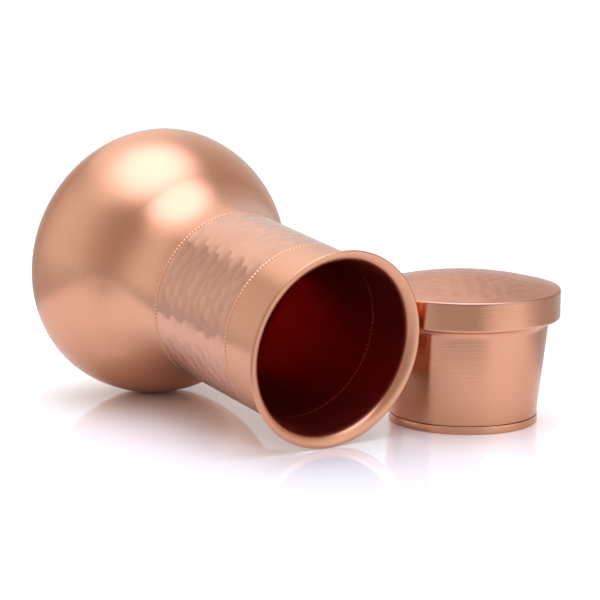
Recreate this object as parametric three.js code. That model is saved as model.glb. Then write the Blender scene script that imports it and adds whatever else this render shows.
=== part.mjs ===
// A copper water carafe lying on its side, with its loose plug lid standing upright beside the mouth.
// Every piece is turned from sheet, so each one is a closed profile revolved about the carafe's or the lid's axis.
import * as THREE from 'three';

// Driving dimensions, in millimetres. Heights on the carafe are measured along its axis from the lip plane.
const SHEET = 0.8;
const SEAM_GAP = 0.3;
const SEGMENTS = 48;

const LIP_RADIUS = 45;
const LIP_EDGE_HEIGHT = -0.8;
const NECK_RADIUS = 40.2;
const COLLAR_LENGTH = 27.6;
const NECK_LENGTH = 56.6;
const FLARE_RADIUS = 4.2;
const FLARE_TURN = THREE.MathUtils.degToRad(62);
const HEM_DEPTH = 2.4;

const BELLY_RADIUS = 63.5;
const BELLY_FROM_LIP = 148.6;
const FRONT_DEPTH = 58.7;
const BACK_DEPTH = 39.9;
const SHOULDER_RADIUS = 50.3;
const BASE_RADIUS = 34;

const PLUG_MOUTH_RADIUS = 33.7;
const PLUG_TOP_RADIUS = 38.3;
const PLUG_TOP_HEIGHT = 43.8;
const BAND_RADIUS = 34.1;
const BAND_HEIGHT = 3.8;
const LID_RADIUS = 43.7;
const LID_UNDERSIDE = 47.9;
const LID_CORNER = 1.6;
const LID_SEAM_HEIGHT = 60.2;
const LID_EDGE_HEIGHT = 61.6;
const DOME_HEIGHT = 67.6;

const LID_BEHIND_LIP = 19.8;
const LID_ASIDE = 86;

// Copper as it is finished on each area.
const satinCopper = new THREE.MeshStandardMaterial({ color: 0xd99a7c, roughness: 0.35, metalness: 1 });
const hammeredCopper = new THREE.MeshStandardMaterial({ color: 0xcc8f78, roughness: 0.22, metalness: 1 });
const brushedCopper = new THREE.MeshStandardMaterial({ color: 0xdb9a74, roughness: 0.42, metalness: 1 });

const point = (radius, height) => new THREE.Vector2(radius, height);

// Points along a quadratic curve that leaves one point and reaches another, bending at a corner.
function bend(from, corner, to, steps) {
  return new THREE.QuadraticBezierCurve(from, corner, to).getPoints(steps);
}

// A closed sheet profile: the outer outline, then its copy one sheet thickness to the inside.
function sheetProfile(outline, thickness = SHEET) {
  const inner = outline.map((p, i) => {
    const before = outline[Math.max(i - 1, 0)];
    const after = outline[Math.min(i + 1, outline.length - 1)];
    const along = after.clone().sub(before).normalize();
    return point(Math.max(p.x - along.y * thickness, 0), p.y + along.x * thickness);
  });
  return [...outline, ...inner.reverse()];
}

// A profile revolved about +Z, turned half a side so that a flat side and not a corner faces each way.
function turned(name, profile, material) {
  const closed = [...profile, profile[0]];
  const geometry = new THREE.LatheGeometry(closed, SEGMENTS, Math.PI / SEGMENTS);
  geometry.rotateX(Math.PI / 2);
  const mesh = new THREE.Mesh(geometry, material);
  mesh.name = name;
  return mesh;
}

// Each half of the belly is a quarter of an ellipse: this is the angle on it at which its radius has shrunk so far.
function angleAtRadius(radius) {
  return Math.acos(radius / BELLY_RADIUS);
}

// From the rim of the base round the back of the belly to its widest plane.
function lowerBowlOutline() {
  const start = -angleAtRadius(BASE_RADIUS);
  return new THREE.EllipseCurve(0, -BELLY_FROM_LIP, BELLY_RADIUS, BACK_DEPTH, start, 0).getPoints(8);
}

// From the widest plane over the shoulder, then a concave sweep that runs straight into the neck.
function upperBowlOutline() {
  const end = angleAtRadius(SHOULDER_RADIUS);
  const start = SEAM_GAP / FRONT_DEPTH;
  const outline = new THREE.EllipseCurve(0, -BELLY_FROM_LIP, BELLY_RADIUS, FRONT_DEPTH, start, end).getPoints(8);
  const last = outline.at(-1);
  const slope = (BELLY_RADIUS * Math.tan(end)) / FRONT_DEPTH;
  const corner = point(NECK_RADIUS, last.y + (last.x - NECK_RADIUS) / slope);
  const neckStart = point(NECK_RADIUS, -COLLAR_LENGTH - NECK_LENGTH);
  return [...outline, ...bend(last, corner, neckStart, 7).slice(1)];
}

function baseDiscProfile() {
  const height = lowerBowlOutline()[0].y;
  const radius = BASE_RADIUS - 2 * SEAM_GAP;
  return [point(0, height), point(radius, height), point(radius, height + SHEET), point(0, height + SHEET)];
}

function neckOutline() {
  return [point(NECK_RADIUS, -COLLAR_LENGTH - NECK_LENGTH + SEAM_GAP), point(NECK_RADIUS, -COLLAR_LENGTH)];
}

// A straight collar that flares to the lip, where the sheet is folded flat against its own back.
function collarProfile() {
  const flareStart = -SHEET - FLARE_RADIUS;
  const flareCentre = NECK_RADIUS + FLARE_RADIUS;
  const outer = [point(NECK_RADIUS, -COLLAR_LENGTH + SEAM_GAP)];
  const inner = [point(NECK_RADIUS - SHEET, -COLLAR_LENGTH + SEAM_GAP)];
  const steps = 6;
  for (let i = 0; i <= steps; i += 1) {
    const turn = (FLARE_TURN * i) / steps;
    outer.push(point(flareCentre - FLARE_RADIUS * Math.cos(turn), flareStart + FLARE_RADIUS * Math.sin(turn)));
  }
  const insideRadius = FLARE_RADIUS + SHEET;
  for (let i = 0; i <= steps; i += 1) {
    const turn = (Math.PI / 2) * (i / steps);
    inner.push(point(flareCentre - insideRadius * Math.cos(turn), flareStart + insideRadius * Math.sin(turn)));
  }
  const hem = [point(LIP_RADIUS - HEM_DEPTH, -2 * SHEET - 0.6), point(LIP_RADIUS - 0.3, -2 * SHEET + 0.1)];
  const edge = point(LIP_RADIUS, LIP_EDGE_HEIGHT);
  const crown = point(LIP_RADIUS - 0.2, -0.2);
  return [...outer, ...hem, edge, crown, ...inner.reverse()];
}

function plugOutline() {
  return [point(PLUG_MOUTH_RADIUS, BAND_HEIGHT), point(PLUG_TOP_RADIUS, PLUG_TOP_HEIGHT)];
}

// A plain band round the mouth of the plug, a little proud of its wall.
function bandProfile() {
  const inside = PLUG_MOUTH_RADIUS - SHEET;
  const top = BAND_HEIGHT - SEAM_GAP;
  return [point(inside, 0), point(BAND_RADIUS, 0), point(BAND_RADIUS, top), point(inside, top)];
}

// Out from the plug in a hollow sweep, round the lower corner and straight up to the top's seam.
function lidCollarOutline() {
  const start = point(PLUG_TOP_RADIUS, PLUG_TOP_HEIGHT + SEAM_GAP);
  const sweepEnd = point(LID_RADIUS - LID_CORNER, LID_UNDERSIDE);
  const sweep = bend(start, point(PLUG_TOP_RADIUS + 0.4, LID_UNDERSIDE), sweepEnd, 5);
  const cornerEnd = point(LID_RADIUS, LID_UNDERSIDE + LID_CORNER);
  const corner = bend(sweepEnd, point(LID_RADIUS, LID_UNDERSIDE), cornerEnd, 3);
  return [...sweep, ...corner.slice(1), point(LID_RADIUS, LID_SEAM_HEIGHT)];
}

// A rounded edge, then a shallow dome that reaches the axis.
function lidTopOutline() {
  const start = point(LID_RADIUS, LID_SEAM_HEIGHT + SEAM_GAP);
  const shoulder = point(LID_RADIUS - LID_CORNER, LID_EDGE_HEIGHT);
  const edge = bend(start, point(LID_RADIUS, LID_EDGE_HEIGHT), shoulder, 3);
  const dome = [];
  const steps = 6;
  for (let i = 1; i <= steps; i += 1) {
    const out = 1 - i / steps;
    const height = DOME_HEIGHT - (DOME_HEIGHT - LID_EDGE_HEIGHT) * out * out;
    dome.push(point(shoulder.x * out, height));
  }
  return [...edge, ...dome];
}

// The carafe lies on two places, the lip and the belly: the tilt of its axis at which both touch the ground.
function restTilt() {
  const flatSide = Math.cos(Math.PI / SEGMENTS);
  const belly = [...lowerBowlOutline(), ...upperBowlOutline()];
  const slopes = belly.map((p) => ((p.x - LIP_RADIUS) * flatSide) / (LIP_EDGE_HEIGHT - p.y));
  return Math.atan(Math.max(...slopes));
}

function carafe() {
  const group = new THREE.Group();
  group.add(turned('base_disc', baseDiscProfile(), satinCopper));
  group.add(turned('lower_bowl', sheetProfile(lowerBowlOutline()), satinCopper));
  group.add(turned('upper_bowl', sheetProfile(upperBowlOutline()), satinCopper));
  group.add(turned('hammered_neck', sheetProfile(neckOutline()), hammeredCopper));
  group.add(turned('mouth_collar', collarProfile(), satinCopper));
  return group;
}

function lid() {
  const group = new THREE.Group();
  group.add(turned('lid_rim_band', bandProfile(), brushedCopper));
  group.add(turned('lid_plug_wall', sheetProfile(plugOutline()), brushedCopper));
  group.add(turned('lid_collar', sheetProfile(lidCollarOutline()), brushedCopper));
  group.add(turned('lid_hammered_top', sheetProfile(lidTopOutline()), hammeredCopper));
  return group;
}

// The mouth looks along +X and slightly down; the lid stands to the +Y side of the neck.
// The whole is set down with the centre of its footprint at the origin.
function assembly() {
  const object = new THREE.Group();
  const lyingCarafe = carafe();
  const tilt = restTilt();
  lyingCarafe.rotation.y = Math.PI / 2 + tilt;
  const flatSide = Math.cos(Math.PI / SEGMENTS);
  const lipHeight = LIP_RADIUS * flatSide * Math.cos(tilt) + LIP_EDGE_HEIGHT * Math.sin(tilt);
  lyingCarafe.position.set(0, 0, lipHeight);
  const standingLid = lid();
  standingLid.position.set(-LID_BEHIND_LIP, LID_ASIDE, 0);
  object.add(lyingCarafe, standingLid);
  const footprint = new THREE.Box3().setFromObject(object, true);
  const middle = footprint.getCenter(new THREE.Vector3());
  object.position.set(-middle.x, -middle.y, -footprint.min.z);
  return object;
}

export default assembly();
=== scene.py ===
"""A copper water carafe lying on its side on a white floor, with its plug lid standing beside the mouth."""
import math
import bpy
import numpy as np
from mathutils import Matrix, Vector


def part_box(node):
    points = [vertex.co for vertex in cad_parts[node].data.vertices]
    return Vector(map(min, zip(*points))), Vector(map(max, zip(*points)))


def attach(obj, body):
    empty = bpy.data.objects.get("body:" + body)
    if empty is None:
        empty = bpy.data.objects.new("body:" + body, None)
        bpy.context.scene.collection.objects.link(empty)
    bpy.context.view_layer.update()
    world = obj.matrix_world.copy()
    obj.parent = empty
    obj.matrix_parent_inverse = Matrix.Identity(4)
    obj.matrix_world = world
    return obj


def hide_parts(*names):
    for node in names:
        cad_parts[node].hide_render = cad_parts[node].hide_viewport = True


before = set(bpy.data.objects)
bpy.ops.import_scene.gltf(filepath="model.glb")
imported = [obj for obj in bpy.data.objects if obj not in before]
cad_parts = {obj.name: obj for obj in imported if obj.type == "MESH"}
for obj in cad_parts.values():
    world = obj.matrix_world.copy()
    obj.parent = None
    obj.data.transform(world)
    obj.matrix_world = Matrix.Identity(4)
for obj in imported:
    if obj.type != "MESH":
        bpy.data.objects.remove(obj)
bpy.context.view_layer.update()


# ---- Base disc ----
# The flat round plate that closes the bottom of the belly: copper sheet, turned on the lathe, set in flush
# and brazed round its rim. Fine turning lines run round it, and a small dimple marks the lathe's centre.
MM = 0.001
SHEET = 0.8 * MM
BASE_RADIUS = 34 * MM
BASE_DISH = 0.5 * MM
BASE_CENTRE = 3 * MM
BASE_RIM_FLAT = 4 * MM
BASE_SEAM = 0.25 * MM
NECK_LENGTH = 56.6 * MM
COLLAR_LENGTH = 27.6 * MM
SEAM_GAP = 0.3 * MM
# The inside's deep red is painted shade: it stands in for the light bounced round inside the copper hollows.
INSIDE_PAINTED_SHADE = (0.66, 0.085, 0.062)
INSIDE_ROUGH = 0.34
CAD_SIDES = 48
INSCRIBED = math.cos(math.pi / CAD_SIDES)
ON_AXIS = 1e-9
SHARP_EDGE = math.radians(40)


def middle(node):
    """The middle of a node's box."""
    low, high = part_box(node)
    return (np.array(low) + np.array(high)) / 2


def unit(vector):
    """The vector's direction, one metre long."""
    return vector / np.linalg.norm(vector)


def carafe_axis():
    """The middle of the lip, and three directions at right angles: two across the axis and one towards the
    mouth. The axis runs through the middles of the base disc and of the neck tube."""
    neck_middle = middle("hammered_neck")
    along = unit(neck_middle - middle("base_disc"))
    lip = neck_middle + along * (COLLAR_LENGTH + (NECK_LENGTH - SEAM_GAP) / 2)
    aside = np.array([0.0, 1.0, 0.0])
    return lip, aside, np.cross(along, aside), along


def arc(centre, radius, start, end, count):
    """Points of a round stretch: the centre plus the radius times the cosine and the sine of the angle."""
    angle = np.linspace(start, end, count)
    return np.stack([centre[0] + radius * np.cos(angle), centre[1] + radius * np.sin(angle)], axis=1)


def straight(start, end, count):
    """Evenly spaced points from start to end."""
    share = np.linspace(0, 1, count)[:, None]
    return np.array(start) * (1 - share) + np.array(end) * share


def bend(start, corner, end, count):
    """A quadratic curve: it leaves start towards the corner and reaches end coming from the corner."""
    share = np.linspace(0, 1, count)[:, None]
    first, second, third = (1 - share) ** 2, 2 * share * (1 - share), share ** 2
    return np.array(start) * first + np.array(corner) * second + np.array(end) * third


def join(*stretches):
    """Stretches laid end to end, each without the point that it shares with the one before."""
    parts = [stretches[0]]
    for stretch in stretches[1:]:
        shared = np.allclose(stretch[0], parts[-1][-1], atol=ON_AXIS)
        parts.append(stretch[1:] if shared else stretch)
    return np.concatenate(parts)


def inside_of(outline, thickness=SHEET):
    """The outline moved to its left, at right angles to itself, by the thickness of the sheet."""
    along = np.gradient(outline, axis=0)
    along /= np.linalg.norm(along, axis=1)[:, None]
    inner = outline + thickness * np.stack([-along[:, 1], along[:, 0]], axis=1)
    return np.maximum(inner, [0, -np.inf])


def sheet(outline, thinning=3):
    """The closed profile of a sheet: the outline, then its inner side with fewer points, and which are
    inside."""
    inner = inside_of(outline)[::-1]
    kept = inner[np.r_[0:len(inner) - 1:thinning, len(inner) - 1]]
    return np.concatenate([outline, kept]), np.r_[np.zeros(len(outline)), np.ones(len(kept))]


def ring_faces(rows, sides, closed):
    """The four-sided faces between each ring of points and the next, and from the last ring to the first if
    the profile is closed: each face's corners, how far round they are from 0 to 1, and the rings that they
    are on."""
    i, j = np.meshgrid(np.arange(rows if closed else rows - 1), np.arange(sides), indexing="ij")
    above = (i + 1) % rows
    beside = (j + 1) % sides
    corners = np.stack([i * sides + j, i * sides + beside, above * sides + beside, above * sides + j],
                       axis=-1)
    around = np.stack([j, j + 1, j + 1, j], axis=-1) / sides
    rings = np.stack([i, i, above, above], axis=-1)
    return corners.reshape(-1, 4), around.reshape(-1, 4), rings.reshape(-1, 4)


def pole_faces(rows, sides):
    """The three-sided faces that close a profile's two ends, from a point on the axis to the first ring and
    from another to the last: each face's corners, and how far round they are. The two points come after the
    rings."""
    side = np.arange(sides)
    after = (side + 1) % sides
    last = (rows - 1) * sides
    first_end = np.stack([np.full(sides, rows * sides), after, side], axis=1)
    last_end = np.stack([np.full(sides, rows * sides + 1), last + side, last + after], axis=1)
    around = np.concatenate([np.stack([side + 0.5, side + 1, side], axis=1),
                             np.stack([side + 0.5, side, side + 1], axis=1)]) / sides
    return np.concatenate([first_end, last_end]), around


def sheet_metal(name, vertices, corners, starts, around, up, spun, painted_shade_share):
    """A smooth mesh at the origin. Corners holds each face's vertices one after another, and starts says
    where each face begins. The UV map holds how far round and how far along the profile each corner is. The
    attributes are the place about the axis, with the way along the profile as its height, and how far it
    belongs to the inside."""
    mesh = bpy.data.meshes.new(name)
    mesh.vertices.add(len(vertices))
    mesh.vertices.foreach_set("co", vertices.ravel())
    mesh.loops.add(len(corners))
    mesh.loops.foreach_set("vertex_index", corners.astype(np.int32))
    mesh.polygons.add(len(starts))
    mesh.polygons.foreach_set("loop_start", starts.astype(np.int32))
    mesh.polygons.foreach_set("use_smooth", np.ones(len(starts), dtype=bool))
    uv = mesh.uv_layers.new(name="round_and_along")
    uv.data.foreach_set("uv", np.stack([around, up], axis=1).ravel())
    mesh.attributes.new("spun", "FLOAT_VECTOR", "POINT").data.foreach_set("vector", spun.ravel())
    mesh.attributes.new("inside", "FLOAT", "POINT").data.foreach_set("value", painted_shade_share)
    mesh.update(calc_edges=True)
    mesh.validate()
    mesh.set_sharp_from_angle(angle=SHARP_EDGE)
    piece = bpy.data.objects.new(name, mesh)
    bpy.context.scene.collection.objects.link(piece)
    return piece


def turned(name, profile, axis, sides, inside, sink=None):
    """A profile of (radius, height) points carried round an axis. A point of the surface is the axis's
    origin plus its height along the axis plus its radius times the direction at its angle. The profile
    closes on itself, or starts and ends on the axis, where each end becomes one point. Inside says how far
    each profile point, or each point of the surface, belongs to the inside, from 0 to 1: the share of the
    inside's painted shade, a deep red that stands in for light bounced round the hollow. Sink moves each by
    (radius, height). The radii shrink a little, so that the round piece lies inside the frame's many-sided
    one."""
    origin, aside, across, along = axis
    profile = profile * [INSCRIBED, 1]
    poles = profile[0, 0] < ON_AXIS and profile[-1, 0] < ON_AXIS
    off_axis = slice(1, -1) if poles else slice(None)
    turn = np.arange(sides) * (2 * math.pi / sides)
    facing = np.cos(turn)[:, None] * aside + np.sin(turn)[:, None] * across
    shape = np.repeat(profile[off_axis, None], sides, axis=1)
    rows = len(shape)
    if sink is not None:
        shape = shape + sink[off_axis]
    vertices = (origin + shape[..., :1] * facing + shape[..., 1:] * along).reshape(-1, 3)
    run = np.concatenate([[0], np.cumsum(np.linalg.norm(np.diff(profile, axis=0), axis=1))])
    run_rows = run[off_axis]
    spun = np.stack([shape[..., 0] * np.cos(turn), shape[..., 0] * np.sin(turn),
                     np.repeat(run_rows[:, None], sides, axis=1)], axis=-1).reshape(-1, 3)
    painted_shade_share = np.asarray(inside, dtype=float).reshape(len(profile), -1)[off_axis]
    painted_shade_share = np.broadcast_to(painted_shade_share, (rows, sides)).ravel()
    corners, around, rings = ring_faces(rows, sides, closed=not poles)
    starts = np.arange(len(corners)) * 4
    corners, around, up = corners.ravel(), around.ravel(), run_rows[rings].ravel()
    if poles:
        vertices = np.concatenate([vertices, origin + profile[[0, -1], 1:] * along])
        spun = np.concatenate([spun, [[0, 0, run[0]], [0, 0, run[-1]]]])
        painted_shade_share = np.concatenate([painted_shade_share, [inside[0], inside[-1]]])
        end_corners, end_around = pole_faces(rows, sides)
        end_up = np.repeat([[run[0], run[1], run[1]], [run[-1], run[-2], run[-2]]], sides, axis=0)
        starts = np.concatenate([starts, len(corners) + np.arange(len(end_corners)) * 3])
        corners = np.concatenate([corners, end_corners.ravel()])
        around = np.concatenate([around, end_around.ravel()])
        up = np.concatenate([up, end_up.ravel()])
    return sheet_metal(name, vertices, corners, starts, around, up / run[-1], spun, painted_shade_share)


def node(tree, kind, *values, **settings):
    """A new node with its settings made and its first inputs given as numbers or linked from sockets."""
    made = tree.nodes.new(kind)
    for key, value in settings.items():
        setattr(made, key, value)
    for socket, value in zip(made.inputs, values):
        if isinstance(value, bpy.types.NodeSocket):
            tree.links.new(value, socket)
        elif value is not None:
            socket.default_value = value
    return made


def mixed(tree, share, first, second):
    """One colour or the other, or a mix of them by the share of the second."""
    mix = node(tree, "ShaderNodeMix", share, data_type="RGBA")
    for socket, colour in ((mix.inputs[6], first), (mix.inputs[7], second)):
        if isinstance(colour, bpy.types.NodeSocket):
            tree.links.new(colour, socket)
        else:
            socket.default_value = (*colour, 1)
    return mix.outputs[2]


def copper(name, light, deep, rough, lines, line_depth, across_lines=2600.0, anisotropy=0.3, mottle=18.0,
           grazing=(1.0, 1.0, 1.0)):
    """Bare copper, turned or brushed. Its tone wanders between a light and a deep one in broad patches, and
    fine lines run round the piece: noise that changes fast along the profile and slowly around it. The
    lines spread a highlight at right angles to themselves. Grazing tints what is seen at a flat angle.
    Where the attribute inside is 1, the sheet is a deep red, and duller. The deep red is painted shade: it
    stands in for the light that bounces round inside the hollow."""
    material = bpy.data.materials.new(name)
    material.use_nodes = True
    tree = material.node_tree
    shader = tree.nodes["Principled BSDF"]
    shader.inputs["Metallic"].default_value = 1.0
    shader.inputs["Anisotropic"].default_value = anisotropy
    shader.inputs["Anisotropic Rotation"].default_value = 0.25
    shader.inputs["Specular Tint"].default_value = (*grazing, 1)
    place = node(tree, "ShaderNodeAttribute", attribute_name="spun").outputs["Vector"]
    inside = node(tree, "ShaderNodeAttribute", attribute_name="inside").outputs["Fac"]
    stretched = node(tree, "ShaderNodeMapping", place, None, None, (30.0, 30.0, across_lines)).outputs[0]
    fine = node(tree, "ShaderNodeTexNoise", stretched, None, 1.0, 4.0, 0.6).outputs["Fac"]
    broad = node(tree, "ShaderNodeTexNoise", place, None, mottle, 3.0).outputs["Fac"]
    tone = node(tree, "ShaderNodeValToRGB", broad)
    for end, position, colour in zip(tone.color_ramp.elements, (0.3, 0.7), (deep, light)):
        end.position = position
        end.color = (*colour, 1)
    # The inside's deep red is painted shade, standing in for the light bounced round the hollow.
    tree.links.new(mixed(tree, inside, tone.outputs[0], INSIDE_PAINTED_SHADE), shader.inputs["Base Color"])
    gloss = node(tree, "ShaderNodeMapRange", fine, 0.3, 0.7, *rough).outputs[0]
    dull = node(tree, "ShaderNodeMix", inside, None, gloss, INSIDE_ROUGH).outputs[0]
    tree.links.new(dull, shader.inputs["Roughness"])
    scratches = node(tree, "ShaderNodeBump", lines, line_depth)
    tree.links.new(fine, scratches.inputs["Height"])
    tree.links.new(scratches.outputs[0], shader.inputs["Normal"])
    grain = node(tree, "ShaderNodeTangent", direction_type="UV_MAP", uv_map="round_and_along")
    tree.links.new(grain.outputs[0], shader.inputs["Tangent"])
    return material


def belongs(piece, body, cad_node, material):
    """The piece gets its material, rides on its body, and stands for its CAD node if it has one."""
    piece.data.materials.append(material)
    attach(piece, body)
    if cad_node:
        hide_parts(cad_node)


axis = carafe_axis()
BELLY_RADIUS = 63.5 * MM
BELLY_FROM_LIP = 148.6 * MM
BACK_DEPTH = 39.9 * MM
base_height = -BELLY_FROM_LIP - BACK_DEPTH * math.sqrt(1 - (BASE_RADIUS / BELLY_RADIUS) ** 2)

satin_copper = copper("satin_copper", light=(0.77, 0.40, 0.25), deep=(0.74, 0.37, 0.23), rough=(0.22, 0.28),
                      lines=0.05, line_depth=0.00002, anisotropy=0.4)


def base_profile():
    """From the axis out over a shallow dish to the seam, round the rim, and back along the inside."""
    rim = BASE_RADIUS - BASE_SEAM
    shallow = BASE_DISH * 0.9
    dish = np.array([[0, BASE_DISH], [BASE_CENTRE, shallow]])
    flat = straight((rim - BASE_RIM_FLAT, 0), (rim, 0), 6)
    sweep = bend(dish[-1], (rim - 2 * BASE_RIM_FLAT, shallow), flat[0], 30)
    outside = join(dish, sweep, flat) + [0, base_height]
    inside = outside[::-1] + [0, SHEET]
    return np.concatenate([outside, inside]), np.r_[np.zeros(len(outside)), np.ones(len(inside))]


profile, inside = base_profile()
base_disc = turned("base_disc_turned", profile, axis, sides=240, inside=inside)
belongs(base_disc, "carafe", "base_disc", satin_copper)


# ---- Lower bowl ----
# The back half of the belly, from the rim of the base to the widest plane: copper sheet spun over a former,
# then brazed to the upper bowl. The joint is ground and polished away, so the two bowls read as one
# surface.
def lower_bowl_outline():
    """A quarter of an ellipse, cut off where its radius has shrunk to the base's."""
    start = -math.acos(BASE_RADIUS / BELLY_RADIUS)
    angle = np.linspace(start, 0, 70)
    return np.stack([BELLY_RADIUS * np.cos(angle), BACK_DEPTH * np.sin(angle) - BELLY_FROM_LIP], axis=1)


profile, inside = sheet(lower_bowl_outline())
lower_bowl = turned("lower_bowl_spun", profile, axis, sides=360, inside=inside)
belongs(lower_bowl, "carafe", "lower_bowl", satin_copper)


# ---- Upper bowl ----
# The front half of the belly with the shoulder: spun from sheet, it curves in from the widest plane and
# sweeps hollow into the neck, where a ring of punched dots covers the brazed joint.
FRONT_DEPTH = 58.7 * MM
NECK_RADIUS = 40.2 * MM
SHOULDER_RADIUS = 50.3 * MM
RING_HALF_WIDTH = 1.3 * MM


def upper_bowl_outline():
    """A quarter of an ellipse up to the shoulder's radius, then a quadratic curve that would reach the neck
    straight and stops at the edge of the dotted ring."""
    end = math.acos(SHOULDER_RADIUS / BELLY_RADIUS)
    angle = np.linspace(0, end, 70)
    belly = np.stack([BELLY_RADIUS * np.cos(angle), FRONT_DEPTH * np.sin(angle) - BELLY_FROM_LIP], axis=1)
    slope = BELLY_RADIUS * math.tan(end) / FRONT_DEPTH
    corner = (NECK_RADIUS, belly[-1, 1] + (SHOULDER_RADIUS - NECK_RADIUS) / slope)
    neck_start = (NECK_RADIUS, -COLLAR_LENGTH - NECK_LENGTH)
    ring_edge = neck_start[1] - RING_HALF_WIDTH
    shoulder = bend(belly[-1], corner, neck_start, 50)
    shoulder = shoulder[shoulder[:, 1] < ring_edge]
    fine = bend(belly[-1], corner, neck_start, 200)
    stop = (np.interp(ring_edge, fine[:, 1], fine[:, 0]), ring_edge)
    return np.concatenate([belly, shoulder[1:], [stop]])


# The sheet's inner side stops level with its outer side, so that both meet the dotted ring.
outline = upper_bowl_outline()
profile, inside = sheet(outline)
profile[len(outline), 1] = outline[-1, 1]
upper_bowl = turned("upper_bowl_spun", profile, axis, sides=360, inside=inside)
belongs(upper_bowl, "carafe", "upper_bowl", satin_copper)
shoulder_edge = outline[-1]


# ---- Dotted rings ----
# Two rings of punch marks, where the shoulder and the collar meet the neck: a scribed line, and on it round
# dents struck one by one with a small punch. The sheet is thin, so each dent stands out on the inside too.
DOT_COUNT = 142
DOT_SIDES = 10
RING_POINTS = 27
DOT_RADIUS = 0.5 * MM
DOT_DEPTH = 0.46 * MM
# The painted shade in the dents and along the scribed line, as shares of the inside's deep red.
DOT_PAINTED_SHADE = 0.2
LINE_PAINTED_SHADE = 0.1
LINE_DEPTH = 0.12 * MM
LINE_WIDTH = 0.3 * MM


def dotted_ring(name, height, radius_before, shows_inside):
    """A narrow band, whose radius falls to the neck's with the square of the way. Its depth is a bell
    across the scribed line, or a bell round the middle of each dot where that is deeper. The dents and the
    line are painted a little towards the inside's deep red: painted shade in their hollows. Shows_inside
    says how much of the dots comes through to the inside, where the inside's painted shade is taken off
    them as a painted highlight on each bump."""
    low, high = height - RING_HALF_WIDTH, height + RING_HALF_WIDTH
    outside = straight((radius_before, low), (NECK_RADIUS, high), RING_POINTS)
    outside[:, 0] = NECK_RADIUS + (radius_before - NECK_RADIUS) * np.linspace(1, 0, RING_POINTS) ** 2
    profile = np.concatenate([outside, (outside - [SHEET, 0])[::-1]])
    sides = DOT_COUNT * DOT_SIDES
    turn = np.arange(sides) * (2 * math.pi / sides)
    pitch = 2 * math.pi / DOT_COUNT
    beside = ((turn + pitch / 2) % pitch - pitch / 2) * NECK_RADIUS
    off_line = profile[:, 1:] - height
    outer = np.repeat([1.0, 0.0], len(outside))[:, None]
    line = LINE_DEPTH * outer * np.exp(-(off_line / LINE_WIDTH) ** 2)
    dots = DOT_DEPTH * np.exp(-(off_line ** 2 + beside[None] ** 2) / DOT_RADIUS ** 2)
    depth = np.maximum(line, dots * (outer + shows_inside * (1 - outer)))
    sink = np.stack([-depth, np.zeros_like(depth)], axis=-1)
    dot = dots / DOT_DEPTH
    # Painted shade: the dents and the scribed line outside are painted towards the inside's deep red, and on
    # the inside the painted shade is taken off each bump as a painted highlight.
    dent_shade = np.maximum(DOT_PAINTED_SHADE * dot ** 2, LINE_PAINTED_SHADE * line / LINE_DEPTH)
    painted_shade_share = outer * dent_shade + (1 - outer) * (1 - shows_inside * dot)
    ring = turned(name, profile, axis, sides, painted_shade_share, sink)
    belongs(ring, "carafe", None, satin_copper)
    return ring


dotted_ring("shoulder_dotted_ring", -COLLAR_LENGTH - NECK_LENGTH, shoulder_edge[0], shows_inside=0.15)
dotted_ring("collar_dotted_ring", -COLLAR_LENGTH, NECK_RADIUS, shows_inside=0.9)


# ---- Hammered neck ----
# The straight tube between the two dotted rings, planished by hand: overlapping hammer marks in rows round
# the neck, each a shallow flattish bowl, brighter than the satin copper because the hammer's face is
# polished.
MARK_ROWS = 10
MARKS_PER_ROW = 29
MARK_BOWL_ROUND = 62 * MM
MARK_BOWL_ALONG = 34 * MM
MARK_DEPTH = 0.16 * MM
MARK_SOFTNESS = 0.007 * MM
MARK_SHOWS_INSIDE = 0.5
MARK_FADE = 0.8 * MM
NECK_SIDES = 600


def hammer_marks(turn, place, girth, rows, bowl_round, bowl_along, seed):
    """Depth of the hammer marks. Each mark is a bowl, deepest at its middle, whose depth falls with the
    square of the distance over twice the bowl's radius, and the surface is the deepest bowl at each point,
    softened: the log of the sum of the bowls' exponentials. Rows holds each row's place and count of marks.
    Places, spacing and depth are a little uneven."""
    random = np.random.RandomState(seed)
    total = np.zeros(np.broadcast(turn, place).shape)
    for row, (row_place, count) in enumerate(rows):
        shift = random.uniform(-0.22, 0.22, count)
        rise = random.uniform(-0.16, 0.16, count)
        strength = random.uniform(0.72, 1.18, count)
        pitch = 2 * math.pi / count
        start = (row % 2) * 0.5 + random.uniform(-0.1, 0.1)
        spacing = abs(rows[1][0] - rows[0][0])
        nearest = np.round(turn / pitch - start)
        for step in (-1, 0, 1):
            index = (nearest + step).astype(int) % count
            centre = (nearest + step + start + shift[index]) * pitch
            across = (turn - centre) * girth
            along = place - row_place - rise[index] * spacing
            bowl = across ** 2 / (2 * bowl_round) + along ** 2 / (2 * bowl_along)
            depth = MARK_DEPTH * strength[index] - bowl
            total = total + np.exp(np.maximum(depth, -20 * MARK_SOFTNESS) / MARK_SOFTNESS)
    return MARK_SOFTNESS * np.log(total + 1)


def neck_profile():
    """Straight up the outside and straight down the inside."""
    low = -COLLAR_LENGTH - NECK_LENGTH + RING_HALF_WIDTH
    high = -COLLAR_LENGTH - RING_HALF_WIDTH
    outside = straight((NECK_RADIUS, low), (NECK_RADIUS, high), 124)
    inside = straight((NECK_RADIUS - SHEET, high), (NECK_RADIUS - SHEET, low), 38)
    profile = np.concatenate([outside, inside])
    return profile, np.r_[np.zeros(len(outside)), np.ones(len(inside))], low, high


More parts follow.
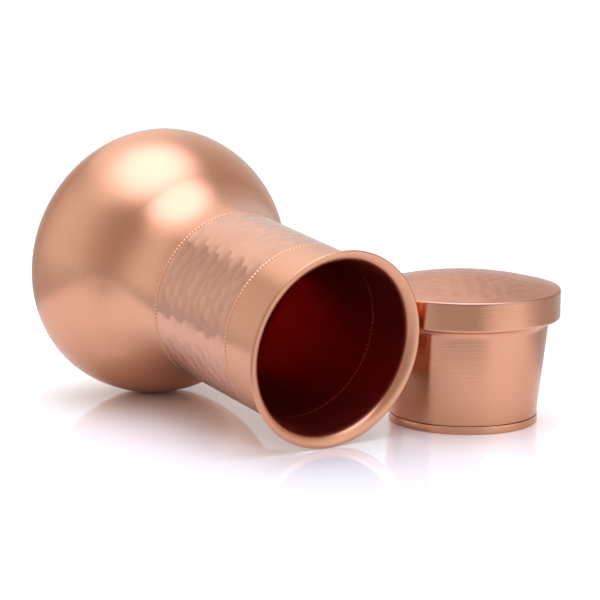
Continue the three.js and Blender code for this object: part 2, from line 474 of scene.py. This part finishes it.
def neck_marks(profile, low, high, sides):
    """The hammer marks, fading out over the last stretch before each dotted ring."""
    pitch = (high - low) / MARK_ROWS
    rows = [(low + pitch * (row + 0.5), MARKS_PER_ROW) for row in range(MARK_ROWS)]
    turn = np.arange(sides)[None] * (2 * math.pi / sides)
    height = profile[:, 1:]
    depth = hammer_marks(turn, height, NECK_RADIUS, rows, MARK_BOWL_ROUND, MARK_BOWL_ALONG, seed=7)
    to_edge = np.minimum(height - low, high - height)
    return depth * np.clip(to_edge / MARK_FADE, 0, 1)


hammered_copper = copper("hammered_copper", light=(0.74, 0.40, 0.28), deep=(0.70, 0.365, 0.255),
                         rough=(0.16, 0.22), lines=0.06, line_depth=0.00001, across_lines=900.0, mottle=60.0)
profile, inside, low, high = neck_profile()
depth = neck_marks(profile, low, high, NECK_SIDES) * (1 - (1 - MARK_SHOWS_INSIDE) * inside[:, None])
hammered_neck = turned("neck_hammered_tube", profile, axis, NECK_SIDES, inside,
                       np.stack([-depth, np.zeros_like(depth)], axis=-1))
belongs(hammered_neck, "carafe", "hammered_neck", hammered_copper)


# ---- Mouth collar ----
# The smooth collar that carries the lip. It is straight, then flares tightly outwards, and its edge is
# folded back flat under the flare, so that the raw edge of the sheet shows as a dark line just behind the
# lip.
FLARE_RADIUS = 4.2 * MM
LIP_RADIUS = 45 * MM
HEM_TURN = math.radians(60)
HEM_EDGE = math.radians(93)
HEM_GAP = 0.4 * MM
CREASE_DEPTH = 0.2 * MM
CREASE_TURN = math.radians(8)
CREASE_WIDTH = math.radians(11)


def collar_profile():
    """Up the outside, round the flare's back to the hem's raw edge, along the hem's underside, round the
    fold, and down the flare's inside and the collar's inside. A bell-shaped crease runs round the fold,
    where the sheet stretched over the tool."""
    centre = (NECK_RADIUS + FLARE_RADIUS, -SHEET - FLARE_RADIUS)
    start = (NECK_RADIUS, -COLLAR_LENGTH + RING_HALF_WIDTH)
    wall = straight(start, (NECK_RADIUS, centre[1]), 30)
    back = arc(centre, FLARE_RADIUS, math.pi, HEM_EDGE, 24)
    slot_floor = arc(centre, FLARE_RADIUS - HEM_GAP, HEM_EDGE, math.pi - HEM_TURN, 8)
    underside = arc(centre, FLARE_RADIUS - SHEET, math.pi - HEM_TURN, math.pi / 2, 14)
    fold_centre = (LIP_RADIUS - SHEET, -SHEET)
    fold_angle = np.linspace(-math.pi / 2, math.pi / 2, 48)
    fold_radius = SHEET - CREASE_DEPTH * np.exp(-((fold_angle - CREASE_TURN) / CREASE_WIDTH) ** 2)
    fold = fold_centre + fold_radius[:, None] * np.stack([np.cos(fold_angle), np.sin(fold_angle)], axis=1)
    inner = arc(centre, FLARE_RADIUS + SHEET, math.pi / 2, math.pi, 40)
    lining = straight(inner[-1], (NECK_RADIUS - SHEET, start[1]), 16)
    profile = join(wall, back, slot_floor, underside, fold, inner, lining)
    polished = len(profile) - len(lining) - len(inner) + 2
    # Painted shade: the inside's deep red deepens from none at the lip to full down the flare's inside.
    shade_deepening = np.linspace(0, 1, len(inner) - 1) ** 4
    return profile, np.r_[np.zeros(polished), shade_deepening, np.ones(len(lining) - 1)]


profile, inside = collar_profile()
mouth_collar = turned("mouth_collar_spun", profile, axis, sides=480, inside=inside)
belongs(mouth_collar, "carafe", "mouth_collar", satin_copper)


# ---- Lid's rim band ----
# A plain strip of copper folded round the open end of the plug and standing a little proud of its wall.
BAND_RADIUS = 34.1 * MM
BAND_HEIGHT = 3.8 * MM
BAND_EDGE = 0.25 * MM
BAND_CLOSING = 0.01 * MM
PLUG_MOUTH_RADIUS = 33.7 * MM
band_low, band_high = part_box("lid_rim_band")
up = np.array([0.0, 0.0, 1.0])
ahead = np.array([1.0, 0.0, 0.0])
lid_origin = np.array([(band_low[0] + band_high[0]) / 2, (band_low[1] + band_high[1]) / 2, band_low[2]])
lid_axis = (lid_origin, ahead, np.cross(up, ahead), up)
brushed_copper = copper("brushed_copper", light=(0.78, 0.40, 0.25), deep=(0.73, 0.36, 0.22),
                        rough=(0.13, 0.21), lines=1.0, line_depth=0.00005, across_lines=2400.0,
                        anisotropy=0.6)


def band_profile():
    """A rectangle with rounded outer corners, which stops one seam below the plug wall."""
    inner_radius = PLUG_MOUTH_RADIUS - SHEET
    top = BAND_HEIGHT - SEAM_GAP
    lower = arc((BAND_RADIUS - BAND_EDGE, BAND_EDGE), BAND_EDGE, -math.pi / 2, 0, 6)
    upper = arc((BAND_RADIUS - BAND_EDGE, top - BAND_EDGE), BAND_EDGE, 0, math.pi / 2, 6)
    foot = straight((inner_radius, 0), lower[0], 4)
    head = straight(upper[-1], (inner_radius, top), 4)
    inner_wall = straight((inner_radius, top), (inner_radius, BAND_CLOSING), 4)
    return join(foot, lower, upper, head, inner_wall)


profile = band_profile()
rim_band = turned("lid_rim_band_folded", profile, lid_axis, sides=360, inside=np.zeros(len(profile)))
belongs(rim_band, "lid", "lid_rim_band", brushed_copper)


# ---- Lid's plug wall ----
# The tapered wall that goes into the neck: one sheet, brushed round and round on the lathe with coarse
# abrasive.
PLUG_TOP_RADIUS = 38.3 * MM
PLUG_TOP_HEIGHT = 43.8 * MM
outline = straight((PLUG_MOUTH_RADIUS, BAND_HEIGHT), (PLUG_TOP_RADIUS, PLUG_TOP_HEIGHT), 60)
profile, inside = sheet(outline)
plug_wall = turned("lid_plug_wall_brushed", profile, lid_axis, sides=360, inside=inside)
belongs(plug_wall, "lid", "lid_plug_wall", brushed_copper)


# ---- Lid's collar ----
# The wide part of the lid: it sweeps out from the plug in a hollow, turns a rounded corner and rises
# straight. The hollow is what rests on the lip when the lid is on.
LID_RADIUS = 43.7 * MM
LID_UNDERSIDE = 47.9 * MM
LID_CORNER = 1.6 * MM
LID_SEAM_HEIGHT = 60.35 * MM
LID_SWEEP_START = 0.4 * MM


def lid_collar_outline():
    """A quadratic sweep outwards, a quadratic corner and a straight wall."""
    start = (PLUG_TOP_RADIUS, PLUG_TOP_HEIGHT)
    sweep_end = (LID_RADIUS - LID_CORNER, LID_UNDERSIDE)
    sweep = bend(start, (PLUG_TOP_RADIUS + LID_SWEEP_START, LID_UNDERSIDE), sweep_end, 24)
    corner = bend(sweep_end, (LID_RADIUS, LID_UNDERSIDE), (LID_RADIUS, LID_UNDERSIDE + LID_CORNER), 12)
    wall = straight(corner[-1], (LID_RADIUS, LID_SEAM_HEIGHT), 20)
    return join(sweep, corner, wall)


profile, inside = sheet(lid_collar_outline(), thinning=1)
lid_collar = turned("lid_collar_spun", profile, lid_axis, sides=360, inside=inside)
belongs(lid_collar, "lid", "lid_collar", brushed_copper)


# ---- Lid's hammered top ----
# A shallow domed disc with a rounded rim, hammered from the middle outwards in rings of flat marks. The rim
# is left smooth, and catches the light as one bright line.
LID_EDGE_HEIGHT = 61.6 * MM
DOME_HEIGHT = 67.6 * MM
TOP_MARK_PITCH = 6.6 * MM
TOP_RING_PITCH = 5.4 * MM
TOP_BOWL_ROUND = 30 * MM
TOP_BOWL_ALONG = 22 * MM
TOP_MARK_FADE = 1.5 * MM
TOP_SIDES = 480


def top_outline():
    """Round the rim, then in to the axis over a dome whose height falls with the square of the radius."""
    start = (LID_RADIUS, LID_SEAM_HEIGHT)
    shoulder = (LID_RADIUS - LID_CORNER, LID_EDGE_HEIGHT)
    rim = bend(start, (LID_RADIUS, LID_EDGE_HEIGHT), shoulder, 14)
    radius = np.linspace(shoulder[0], 0, 110)
    height = DOME_HEIGHT - (DOME_HEIGHT - LID_EDGE_HEIGHT) * (radius / shoulder[0]) ** 2
    return join(rim, np.stack([radius, height], axis=1)), shoulder[0]


def top_marks(profile, marked_radius):
    """Hammer marks in rings round the middle, fading out at the smooth rim."""
    ring_count = int(marked_radius / TOP_RING_PITCH)
    radii = [TOP_RING_PITCH * (ring + 0.5) for ring in range(ring_count)]
    rows = [(radius, max(4, round(2 * math.pi * radius / TOP_MARK_PITCH))) for radius in radii]
    turn = np.arange(TOP_SIDES)[None] * (2 * math.pi / TOP_SIDES)
    radius = profile[:, :1]
    depth = hammer_marks(turn, radius, radius, rows, TOP_BOWL_ROUND, TOP_BOWL_ALONG, seed=11)
    return depth * np.clip((marked_radius - radius) / TOP_MARK_FADE, 0, 1)


dome_copper = copper("hammered_dome_copper", light=(0.68, 0.37, 0.265), deep=(0.60, 0.32, 0.23),
                     rough=(0.14, 0.20), lines=0.06, line_depth=0.00001, across_lines=900.0, mottle=60.0,
                     grazing=(0.88, 0.70, 0.63))
# The sheet's closed profile is turned round on itself, so that it starts and ends on the axis.
outline, marked_radius = top_outline()
profile, inside = sheet(outline)
profile = np.roll(profile, len(profile) - len(outline), axis=0)
inside = np.roll(inside, len(profile) - len(outline))
profile[0] = (0, DOME_HEIGHT - SHEET)
depth = top_marks(profile, marked_radius)
hammered_top = turned("lid_top_hammered", profile, lid_axis, TOP_SIDES, inside,
                      np.stack([np.zeros_like(depth), -depth], axis=-1))
belongs(hammered_top, "lid", "lid_hammered_top", dome_copper)


# ---- Stage ----
# A plain overexposed floor with a glossy white sheet on it, a soft lamp in a white screen overhead, soft
# panels all round the room, and the camera. Front is towards the camera's side, and right is to its right.
# The edges of the sheet, the shade in front of it, the lamp and the screen are soft: each is a place and how
# far it spreads to either side, negative where the light or tone falls off instead of rising.
FLOOR_SIZE = 14.0
FLOOR_HEIGHT = -0.1 * MM
FLOOR_TONE = 0.45
OVEREXPOSED_TONE = 1.3
SHEET_FRONT = (0.315, -0.01)
SHEET_LEFT = (-0.255, 0.03)
SHEET_RIGHT = (0.22, -0.05)
SHEET_LEFT_SPREAD = -0.48
SHEET_RIGHT_SPREAD = 1.2
SHEET_TONE = 0.92
SHEET_ROUGH = 0.05
SHEET_GLOSS = 1.75
SHADE_FRONT = (0.145, 0.045)
SHADE_LEFT = (-0.22, 0.1)
SHADE_RIGHT = (0.15, -0.02)
SHADE_TONE = 0.42
CAMERA_TARGET = np.array([-0.2220, 0.1612, 0.0])
CAMERA_DISTANCE = 1.5295
CAMERA_AZIMUTH = math.radians(-35.31)
CAMERA_ELEVATION = math.radians(10.51)
CAMERA_ROLL = math.radians(0.44)
CAMERA_LENS = 162.0
LAMP_RIGHT = 0.03
LAMP_NARROWING = 1.24
LAMP_EDGE = (0.59, -0.34)
LAMP_LIGHT = (2.5, 2.575, 3.125)
SCREEN_FRONT = (0.60, -0.25)
SCREEN_BACK = (-3.2, 1.8)
SCREEN_LEFT = (-0.81, 0.2)
SCREEN_RIGHT = (0.10, -0.3)
SCREEN_LIGHT = (1.15, 1.15, 1.15)
HORIZON = 0.02
PANELS = [(-180, 0.88), (-166, 0.82), (-154, 0.66), (-135, 0.58), (-112, 0.72), (-92, 0.92), (-68, 0.90),
          (-58, 0.80), (-46, 0.62), (-32, 0.50), (10, 0.47), (22, 0.60), (40, 0.98), (66, 1.05), (86, 0.82),
          (104, 0.55), (125, 0.52), (150, 0.66), (168, 0.78), (180, 0.88)]
DIM_PANEL = 0.8
DIM_WARMTH = 0.22
DIM_RANGE = 0.45


def edge(tree, value, place, softness):
    """A smooth rise from 0 to 1 about a place, as wide to each side as the softness. It is a fall from 1
    to 0 if the softness is negative."""
    reach = abs(softness)
    rise = (0, 1) if softness > 0 else (1, 0)
    return node(tree, "ShaderNodeMapRange", value, place - reach, place + reach, *rise,
                interpolation_type="SMOOTHSTEP").outputs[0]


def math_node(tree, operation, first, second=None):
    """One sum, product, root or the like of two numbers or sockets."""
    return node(tree, "ShaderNodeMath", first, second, operation=operation).outputs[0]


def product(tree, *factors):
    """All the factors multiplied together."""
    result = factors[0]
    for factor in factors[1:]:
        result = math_node(tree, "MULTIPLY", result, factor)
    return result


def turned_to_camera(tree, vector):
    """The vector's parts towards the camera's side, to the right of it, and upwards."""
    spin = node(tree, "ShaderNodeVectorRotate", vector, rotation_type="Z_AXIS")
    spin.inputs["Angle"].default_value = -CAMERA_AZIMUTH
    return node(tree, "ShaderNodeSeparateXYZ", spin.outputs[0]).outputs


def floor():
    """One plane with a glossy white sheet on it, whose sides run slantwise. The floor is overexposed, as
    such a ground mostly is: looked at it is white, and the copper mirrors its true tone, which is paler on
    the sheet and darker in front, where the camera's stand keeps the light off."""
    half = FLOOR_SIZE / 2
    mesh = bpy.data.meshes.new("floor")
    corners = [(-half, -half, FLOOR_HEIGHT), (half, -half, FLOOR_HEIGHT), (half, half, FLOOR_HEIGHT),
               (-half, half, FLOOR_HEIGHT)]
    mesh.from_pydata(corners, [], [(0, 1, 2, 3)])
    plane = bpy.data.objects.new("floor", mesh)
    bpy.context.scene.collection.objects.link(plane)
    material = bpy.data.materials.new("white_sheet_on_grey")
    material.use_nodes = True
    tree = material.node_tree
    tree.nodes.remove(tree.nodes["Principled BSDF"])
    place = tree.nodes.new("ShaderNodeTexCoord").outputs["Object"]
    front, right, _ = turned_to_camera(tree, place)
    past_left = math_node(tree, "ADD", right, product(tree, front, -SHEET_LEFT_SPREAD))
    past_right = math_node(tree, "SUBTRACT", right, product(tree, front, SHEET_RIGHT_SPREAD))
    on_sheet = product(tree, edge(tree, front, *SHEET_FRONT), edge(tree, past_left, *SHEET_LEFT),
                       edge(tree, past_right, *SHEET_RIGHT))
    shade = product(tree, edge(tree, front, *SHADE_FRONT), edge(tree, right, *SHADE_LEFT),
                    edge(tree, right, *SHADE_RIGHT))
    white = node(tree, "ShaderNodeMapRange", shade, 0, 1, SHEET_TONE, SHADE_TONE).outputs[0]
    mirrored = node(tree, "ShaderNodeMapRange", on_sheet, 0, 1, FLOOR_TONE, white).outputs[0]
    looked_at = tree.nodes.new("ShaderNodeLightPath").outputs["Is Camera Ray"]
    exposed = node(tree, "ShaderNodeMapRange", looked_at, 0, 1, mirrored, OVEREXPOSED_TONE).outputs[0]
    tone = node(tree, "ShaderNodeCombineColor", exposed, exposed, exposed)
    matt = node(tree, "ShaderNodeBsdfDiffuse", tone.outputs[0])
    gloss = node(tree, "ShaderNodeBsdfGlossy", (1, 1, 1, 1), SHEET_ROUGH)
    shine = node(tree, "ShaderNodeFresnel", SHEET_GLOSS)
    whole = node(tree, "ShaderNodeMixShader", shine.outputs[0], matt.outputs[0], gloss.outputs[0])
    tree.links.new(whole.outputs[0], tree.nodes["Material Output"].inputs["Surface"])
    mesh.materials.append(material)


def pointed(position, target, roll=0.0):
    """A placement that looks from a position at a target, upright, then rolled about the line of sight."""
    forward = unit(np.array(target) - np.array(position))
    right = unit(np.cross(forward, [0, 0, 1]))
    above = np.cross(right, forward)
    turned_right = math.cos(roll) * right + math.sin(roll) * above
    turned_up = -math.sin(roll) * right + math.cos(roll) * above
    matrix = np.eye(4)
    matrix[:3, 0], matrix[:3, 1], matrix[:3, 2], matrix[:3, 3] = turned_right, turned_up, -forward, position
    return Matrix(matrix.tolist())


def camera():
    """A long lens that looks down a little at a target on the floor."""
    view = bpy.data.cameras.new("camera")
    view.lens = CAMERA_LENS
    view.sensor_width = 36.0
    view.clip_end = 50.0
    holder = bpy.data.objects.new("camera", view)
    level = np.array([math.cos(CAMERA_AZIMUTH), math.sin(CAMERA_AZIMUTH), 0]) * math.cos(CAMERA_ELEVATION)
    position = CAMERA_TARGET + CAMERA_DISTANCE * (level + [0, 0, math.sin(CAMERA_ELEVATION)])
    holder.matrix_world = pointed(position, CAMERA_TARGET, CAMERA_ROLL)
    bpy.context.scene.collection.objects.link(holder)
    bpy.context.scene.camera = holder


def surroundings():
    """The room's panels by compass direction, warm where they are dim. Overhead are a white screen that
    reaches far back and, in it, a lamp that fades out all round. Both are measured by how far sideways a
    direction goes for each step up."""
    world = bpy.data.worlds.new("studio")
    world.use_nodes = True
    tree = world.node_tree
    direction = tree.nodes.new("ShaderNodeTexCoord").outputs["Generated"]
    front, right, up_part = turned_to_camera(tree, direction)
    compass = math_node(tree, "ARCTAN2", right, front)
    share = node(tree, "ShaderNodeMapRange", compass, -math.pi, math.pi, 0, 1).outputs[0]
    panels = node(tree, "ShaderNodeValToRGB", share)
    ramp = panels.color_ramp
    ramp.interpolation = "EASE"
    while len(ramp.elements) < len(PANELS):
        ramp.elements.new(0.5)
    for element, (angle, light) in zip(ramp.elements, PANELS):
        element.position = (angle + 180) / 360
        warmth = 1 - DIM_WARMTH * max(0.0, DIM_PANEL - light) / DIM_RANGE
        element.color = (light, light * warmth, light * warmth ** 1.3, 1)
    rise = math_node(tree, "MAXIMUM", up_part, HORIZON)
    ahead = math_node(tree, "DIVIDE", front, rise)
    sideways = math_node(tree, "DIVIDE", right, rise)
    screen = product(tree, edge(tree, ahead, *SCREEN_FRONT), edge(tree, ahead, *SCREEN_BACK),
                     edge(tree, sideways, *SCREEN_LEFT), edge(tree, sideways, *SCREEN_RIGHT))
    off_centre = product(tree, math_node(tree, "SUBTRACT", sideways, LAMP_RIGHT), LAMP_NARROWING)
    squares = math_node(tree, "ADD", product(tree, ahead, ahead), product(tree, off_centre, off_centre))
    lamp = edge(tree, math_node(tree, "SQRT", squares), *LAMP_EDGE)
    screened = mixed(tree, screen, panels.outputs[0], SCREEN_LIGHT)
    tree.links.new(mixed(tree, lamp, screened, LAMP_LIGHT), tree.nodes["Background"].inputs["Color"])
    bpy.context.scene.world = world


floor()
camera()
surroundings()
bpy.context.scene.view_settings.view_transform = "Standard"
